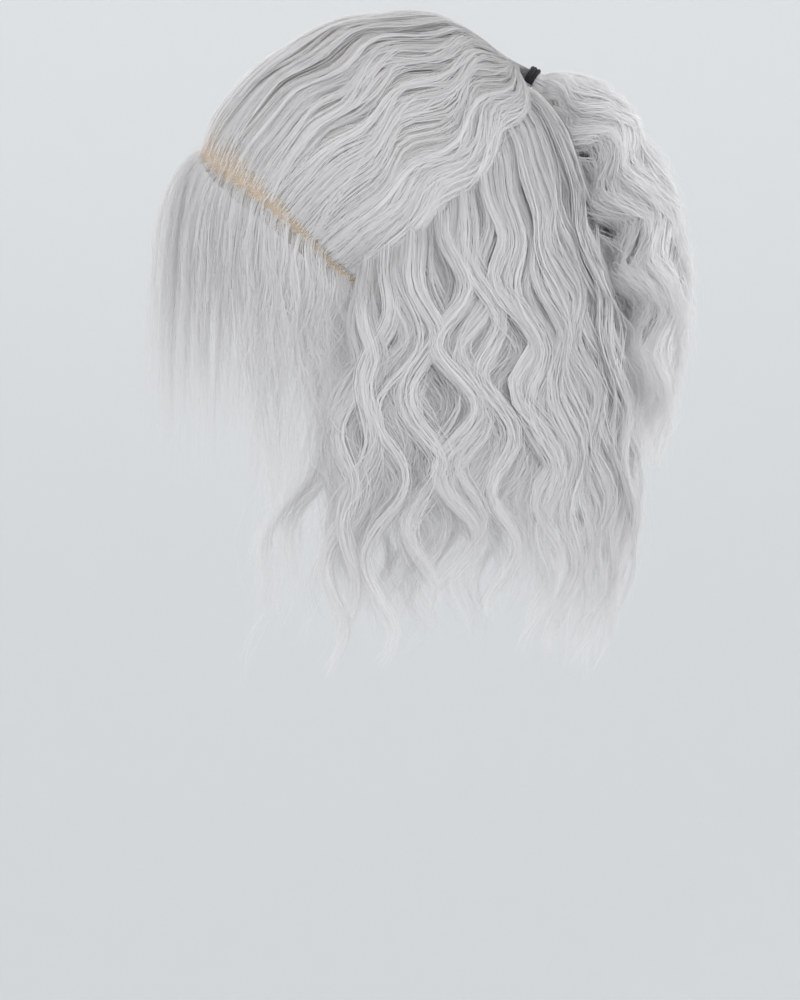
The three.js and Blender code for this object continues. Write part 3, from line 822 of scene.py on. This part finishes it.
def loose_strands(rng, table, steps, small=3, each=16):
    """Loose strands: each lock of a few smaller ones that wind round it, each of many strands that fray."""
    path, outward = loose_locks(table, steps)
    share = np.linspace(0, 1, steps)
    full = (0.9 + 0.1 * smooth(share / 0.25)) * (1 - 0.55 * smooth((share - 0.5) / 0.5))
    half = table["half"][:, None, None]
    path, facing, inner = tuft(path, outward, small, half * full, 0.36 * half * full, 0.35, rng)
    path, facing, outer = tuft(path, facing, each, 2.6 * full, 1.4 * full, 0.4, rng)
    depth, stray = (np.repeat(table[name], small * each) for name in ("depth", "haze"))
    further, fine = haze(rng, len(path), stray)
    path = frizz(path, facing, settings().frizz / MM * further * (0.6 + 1.2 * stray)[:, None], rng)
    start, least = rng.uniform(0, 0.03, len(path)), np.where(stray < 0.12, 0.78, 0.64)
    path = cut(path, start, fray(rng, len(path), least))
    # Painted shade and light: darker the deeper a lock lies, lighter on the outside of each turn
    lock = np.repeat(rng.normal(0, 0.11, len(table["depth"]) * small), each)
    tone = OUTER_TONE - PAINTED_SHADE_BY_DEPTH * depth + lock
    tone = tone + 0.08 * np.repeat(inner.mean(1), each) + 0.05 * outer.mean(1)
    return path, facing, tone + rng.normal(0, 0.15, len(path)), fine


def tail_line(along):
    """Centre line of the tail with half its width and depth, at shares of the way down."""
    rows = {**TAIL_LINE, "place": np.linspace(0, 1, len(TAIL_LINE["y"]))}
    columns = ("y", "z", "half_width", "half_depth")
    y, z, width, depth = (through(rows, "place", name, along) for name in columns)
    return stacked(0 * y, y, z), width, depth


def tail_locks(angle, radius, phase, wave, steps):
    """Paths of tail locks: each keeps its place in the oval section, and swings round and rolls in waves."""
    share = np.linspace(0, 1, steps)
    centre, width, depth = tail_line(share)
    way = unit(np.gradient(centre, axis=0))
    backwards = np.cross(SIDEWAYS, way)
    size = np.maximum(width, 6.0)
    length = np.cumsum(np.linalg.norm(np.diff(centre, axis=0, prepend=centre[:1]), axis=-1))
    beat = TURN * length / wave[:, None] + phase[:, None]
    loose = smooth((share - 0.16) / 0.2)
    turn = angle[:, None] + 13.0 * loose * np.sin(beat) / size
    reach = radius[:, None] * (0.95 + 0.2 * loose * np.cos(beat))
    inner = smooth(-np.sin(turn)) * smooth((share - 0.02) / 0.09)
    depth = depth * (1 + inner * lerp(1.2, 0.6, smooth(share / 0.5)))
    path = (
        centre
        + SIDEWAYS * (width * reach * np.cos(turn))[..., None]
        + backwards * (depth * reach * np.sin(turn))[..., None]
    )
    outward = SIDEWAYS * (np.cos(turn) / width)[..., None] + backwards * (np.sin(turn) / depth)[..., None]
    return path, unit(outward)


def tail_strands(rng, steps=28):
    """Tail strands: locks in two turns round the outside, painted bright, over frizzier ones inside, painted
    darker as shade.
    """
    outside, inside, small, each = 43, 20, 3, 16
    around = np.linspace(0, 2 * TURN, outside, endpoint=False)
    angle = np.concatenate((around, rng.uniform(0, TURN, inside)))
    radius = np.concatenate((rng.uniform(0.94, 1.04, outside), rng.uniform(0.4, 0.82, inside)))
    phase = 1.2 * np.sin(angle) + 0.7 * np.cos(2 * angle) + 0.6 * np.sin(5 * angle)
    angle, phase = angle + rng.normal(0, 0.04, len(angle)), phase + rng.normal(0, 0.25, len(angle))
    wave = 47 + 4 * np.sin(3 * angle) + rng.normal(0, 1.0, len(angle))
    path, outward = tail_locks(angle, radius, phase, wave, steps)
    share = np.linspace(0, 1, steps)
    opened = smooth((share - 0.06) / 0.22)
    full = (0.08 + 0.92 * opened) * (1 - 0.45 * smooth((share - 0.6) / 0.4))
    path, facing, inner = tuft(path, outward, small, 4.6 * full, 1.5 * full, 0.25, rng)
    path, facing, outer = tuft(path, facing, each, 2.4 * full, 1.2 * full, 0.35, rng)
    stray = np.repeat(np.where(radius > 0.9, 0.28, 0.45), small * each)
    further, fine = haze(rng, len(path), stray)
    path = frizz(path, facing, settings().frizz / MM * further * (0.7 + stray)[:, None] * opened, rng)
    path = cut(path, np.zeros(len(path)), fray(rng, len(path), 0.6))
    # Painted shade and light: lighter towards the outside of the tail and of each lock, darker within
    lock = np.repeat(rng.normal(0, 0.10, len(angle) * small), each)
    tone = 0.42 + 0.54 * np.repeat(radius, small * each) + lock + 0.08 * np.repeat(inner.mean(1), each)
    return path, facing, tone + 0.05 * outer.mean(1) + rng.normal(0, 0.13, len(path)), fine


def front_strands(rng, steps=17):
    """Front strands: fine hair off the lace's edge that swings forward and falls.

    A lock goes out by its reach times (1 - e to the -4 share) and down by its drop times the share to the
    power 1.4, with a slow sway across. Some at the sides are long thin wisps.
    """
    locks, each = 218, 15
    azimuth = np.linspace(-FRONT_END, FRONT_END, locks) + rng.normal(0, 0.6, locks)
    far = np.abs(azimuth) / FRONT_END
    at_edge = rng.random(locks) < 0.6
    back = np.where(at_edge, rng.uniform(-0.6, 0.6, locks), 5.0 * rng.beta(1.0, 1.6, locks))
    root = over_inside(direction(azimuth, edge_polar(azimuth) - back), np.full(locks, LACE_WALL + 0.5))
    forward = direction(azimuth, 90.0)
    across = np.cross(UP, forward)
    reach = lerp(FRONT_REACH, FRONT_END_REACH, smooth(np.abs(azimuth) / 50))
    reach = reach * rng.uniform(0.45, 1.15, locks)
    wisp = (np.abs(azimuth) > WISP_START) & (rng.random(locks) < WISP_SHARE)
    tip_z = FRONT_TIP_Z + rng.uniform(-16, 26, locks) - np.where(wisp, rng.uniform(40, 96, locks), 0)
    drop = root[:, 2] - tip_z
    share = np.linspace(0, 1, steps)
    phase = 0.8 * np.sin(azimuth / 9)[:, None]
    beat = share * (0.8 + 1.4 * far[:, None]) + phase + rng.normal(0, 0.16, (locks, 1))
    sway = (2.0 + 4.5 * far**3 + 2.5 * wisp)[:, None] * np.sin(TURN * beat) * smooth(share / 0.6)
    path = (
        root[:, None]
        + forward[:, None] * (reach[:, None] * (1 - np.exp(-4 * share)))[..., None]
        + across[:, None] * sway[..., None]
        - UP * (drop[:, None] * share**1.4)[..., None]
    )
    outward = np.broadcast_to(forward[:, None], path.shape)
    full = (0.7 + 0.3 * smooth(share / 0.4)) * (1 - 0.3 * smooth((share - 0.6) / 0.4))
    path, facing, inner = tuft(path, outward, each, 3.4 * full, 1.8 * full, 0.25, rng)
    further, fine = haze(rng, len(path), np.repeat(np.where(wisp, 0.5, 0.16), each))
    path = frizz(path, facing, 1.1 * settings().frizz / MM * further, rng)
    path = cut(path, np.zeros(len(path)), fray(rng, len(path), 0.45))
    # Painted light: a little lighter on the outer side of each lock
    return path, facing, 0.90 + rng.normal(0, 0.16, len(path)) + 0.05 * inner.mean(1), fine


def tie_points(turns=72, sides=12):
    """The tie: three closed rings of cord side by side round the gathered hair, each a little tilted."""
    around, section = np.linspace(0, TURN, turns + 1), np.linspace(0, TURN, sides + 1)
    rings = np.arange(3)[:, None, None]
    spoke = SIDEWAYS * np.cos(around)[:, None] + TIE_UP * np.sin(around)[:, None]
    offset = (rings - 1) * TIE_TURN + 0.35 * np.cos(around[:, None] + rings * 2.1)
    radius = TIE_RING + np.array((-0.1, 0.12, 0.0))[:, None, None] + 0.1 * np.sin(3 * around[:, None] + rings)
    out, over = TIE_CORD * np.cos(section), 0.98 * TIE_CORD * np.sin(section)
    points = (
        TIE_MIDDLE
        + spoke[:, None] * (radius + out)[..., None]
        + TIE_AXIS * (offset + over)[..., None]
    )
    uv = stacked(around[:, None] / TURN * 4, section / TURN)
    return points, uv


def stage_points(turns=96, steps=60):
    """The studio: a round floor that curves up into a wall, as a quarter circle between the two."""
    floor_z, flat, curve, rise = -2500.0, 2400.0, 1400.0, 3000.0
    angle = np.linspace(0, TURN, turns + 1)[:, None]
    length = np.linspace(0, flat + curve * np.pi / 2 + rise, steps)
    bend = np.clip((length - flat) / curve, 0, np.pi / 2)
    radius = np.minimum(length, flat) + curve * np.sin(bend)
    z = floor_z + curve * (1 - np.cos(bend)) + np.maximum(0, length - flat - curve * np.pi / 2)
    points = stacked(radius * np.cos(angle), radius * np.sin(angle), z)
    uv = stacked(angle / 6.3, length / length[-1])
    return points, uv


# ---------------------------------------------------------------- operators

def place_strands(rng, name, node, strands, widest, spread, finish, mirror=1.0):
    """Puts a piece of hair into the scene, its strands of widths drawn between two shares of the widest."""
    path, facing, tone, fine = strands
    flip = np.array((mirror, 1.0, 1.0))
    width = fine * widest / MM * rng.uniform(*spread, len(path))
    place(strand_mesh(name, path * flip, facing * flip, width, tone), node, "hair", finish)


class WIG_OT_cap(bpy.types.Operator):
    """Make the wefted cap that the hair is sewn to"""

    bl_idname = "wig.cap"
    bl_label = "Make cap"

    def execute(self, context):
        mesh = welded(grid_mesh("cap_shell", *cap_points()))
        piece = place(mesh, "cap", "cap_net", cap_finish(settings().cap_colour, settings().hair_light))
        return {"FINISHED"}


class WIG_OT_lace(bpy.types.Operator):
    """Make the lace panel along the hairline"""

    bl_idname = "wig.lace"
    bl_label = "Make lace"

    def execute(self, context):
        mesh = grid_mesh("lace_panel", *lace_points())
        piece = place(mesh, "lace_front", "lace", lace_finish(settings().lace_colour))
        return {"FINISHED"}


class WIG_OT_crown(bpy.types.Operator):
    """Make the crown hair, combed back to the tie"""

    bl_idname = "wig.crown"
    bl_label = "Make crown hair"

    def execute(self, context):
        rng, widest = np.random.default_rng(CROWN_SEED), settings().strand_width
        strands, finish = crown_strands(rng), hair_finish("crown_fibre", CROWN_TIP_SHADE, settings().tied_painted_light)
        place_strands(rng, "crown_strands", "crown_hair", strands, widest, TIED_WIDTHS, finish)
        return {"FINISHED"}


class WIG_OT_tie(bpy.types.Operator):
    """Make the wound elastic tie"""

    bl_idname = "wig.tie"
    bl_label = "Make hair tie"

    def execute(self, context):
        points, uv = tie_points()
        count, turns, sides, _ = points.shape
        quads = (grid_quads(turns, sides) + turns * sides * np.arange(count)[:, None, None]).reshape(-1, 4)
        corner = np.broadcast_to(uv, (count, turns, sides, 2)).reshape(-1, 2)[quads]
        mesh = welded(mesh_of("elastic_tie", points.reshape(-1, 3) * MM, quads, corner.reshape(-1, 2)))
        place(mesh, "hair_tie", "elastic", elastic_finish(settings().tie_colour))
        return {"FINISHED"}


class WIG_OT_tail(bpy.types.Operator):
    """Make the tail behind the tie"""

    bl_idname = "wig.tail"
    bl_label = "Make tail"

    def execute(self, context):
        rng, widest = np.random.default_rng(TAIL_SEED), settings().strand_width
        strands, finish = tail_strands(rng), hair_finish("tail_fibre", TAIL_TIP_DARKENING, settings().tied_painted_light)
        place_strands(rng, "tail_strands", "tail_hair", strands, widest, TIED_WIDTHS, finish)
        return {"FINISHED"}


class WIG_OT_loose(bpy.types.Operator):
    """Make the loose hair of the left, the right and the back"""

    bl_idname = "wig.loose"
    bl_label = "Make loose hair"

    def execute(self, context):
        rng, widest = np.random.default_rng(LOOSE_SEED), settings().strand_width
        left = join(outer_locks(LEFT_LOCKS), *(small_locks(rng, *row) for row in LEFT_SMALL))
        right = join(*(small_locks(rng, *row) for row in RIGHT_SMALL))
        back = join(outer_locks(BACK_LOCKS), *(small_locks(rng, *row) for row in BACK_SMALL))
        for name, node, table, mirror in (
            ("left_strands", "left_hair", left, 1.0),
            ("right_strands", "right_hair", right, -1.0),
            ("back_strands", "back_hair", back, 1.0),
        ):
            strands, finish = loose_strands(rng, table, LOOSE_STEPS), hair_finish("silver_fibre")
            place_strands(rng, name, node, strands, widest, LOOSE_WIDTHS, finish, mirror)
        return {"FINISHED"}


class WIG_OT_front(bpy.types.Operator):
    """Make the fine hair that falls forward off the lace"""

    bl_idname = "wig.front"
    bl_label = "Make front hair"

    def execute(self, context):
        rng, widest = np.random.default_rng(FRONT_SEED), settings().fringe_width
        strands, finish = front_strands(rng), hair_finish("silver_fibre")
        place_strands(rng, "front_strands", "front_hair", strands, widest, FRONT_WIDTHS, finish)
        return {"FINISHED"}


class WIG_OT_stage(bpy.types.Operator):
    """Make the pale studio, its soft lights and the camera"""

    bl_idname = "wig.stage"
    bl_label = "Make stage"

    def execute(self, context):
        mesh = welded(grid_mesh("studio_shell", *stage_points()))
        mesh.flip_normals()
        shell = bpy.data.objects.new("studio_shell", mesh)
        context.scene.collection.objects.link(shell)
        mesh.materials.append(paint_finish(settings().paint_colour))

        world = bpy.data.worlds.new("studio_air")
        world.use_nodes = True
        air = world.node_tree.nodes["Background"]
        air.inputs["Color"].default_value = AIR_COLOUR
        air.inputs["Strength"].default_value = settings().sky
        context.scene.world = world
        context.scene.view_settings.view_transform = "Standard"

        for name, at, turn, size, share in LIGHTS:
            lamp = bpy.data.lights.new(name, "AREA")
            lamp.size, lamp.energy = size, share * settings().key_power
            light = bpy.data.objects.new(name, lamp)
            light.location, light.rotation_euler = at, np.radians(turn)
            light.visible_camera = False
            context.scene.collection.objects.link(light)

        lens = bpy.data.cameras.new("camera")
        lens.lens, lens.sensor_width = CAMERA_LENS, CAMERA_SENSOR
        camera = bpy.data.objects.new("camera", lens)
        camera.location, camera.rotation_euler = CAMERA_AT, np.radians(CAMERA_TURN)
        context.scene.collection.objects.link(camera)
        context.scene.camera = camera
        return {"FINISHED"}


class WIG_PT_panel(bpy.types.Panel):
    """The wig's settings and its operators"""

    bl_label = "Lace front wig"
    bl_idname = "WIG_PT_panel"
    bl_space_type = "VIEW_3D"
    bl_region_type = "UI"
    bl_category = "Wig"

    def draw(self, context):
        for name in WigSettings.__annotations__:
            self.layout.prop(context.scene.wig, name)
        for operator in OPERATORS:
            self.layout.operator(operator.bl_idname)


OPERATORS = (
    WIG_OT_stage, WIG_OT_cap, WIG_OT_lace, WIG_OT_crown, WIG_OT_tie, WIG_OT_tail, WIG_OT_loose, WIG_OT_front,
)
CLASSES = (WigSettings, *OPERATORS, WIG_PT_panel)


def register():
    """Adds the classes and the scene's settings."""
    for kind in CLASSES:
        bpy.utils.register_class(kind)
    bpy.types.Scene.wig = bpy.props.PointerProperty(type=WigSettings)


def unregister():
    """Takes them away again."""
    del bpy.types.Scene.wig
    for kind in reversed(CLASSES):
        bpy.utils.unregister_class(kind)


def main():
    """Makes every piece in order."""
    register()
    bpy.ops.wig.stage()
    bpy.ops.wig.cap()
    bpy.ops.wig.lace()
    bpy.ops.wig.crown()
    bpy.ops.wig.tie()
    bpy.ops.wig.tail()
    bpy.ops.wig.loose()
    bpy.ops.wig.front()
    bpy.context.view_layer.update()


if __name__ == "__main__":
    main()
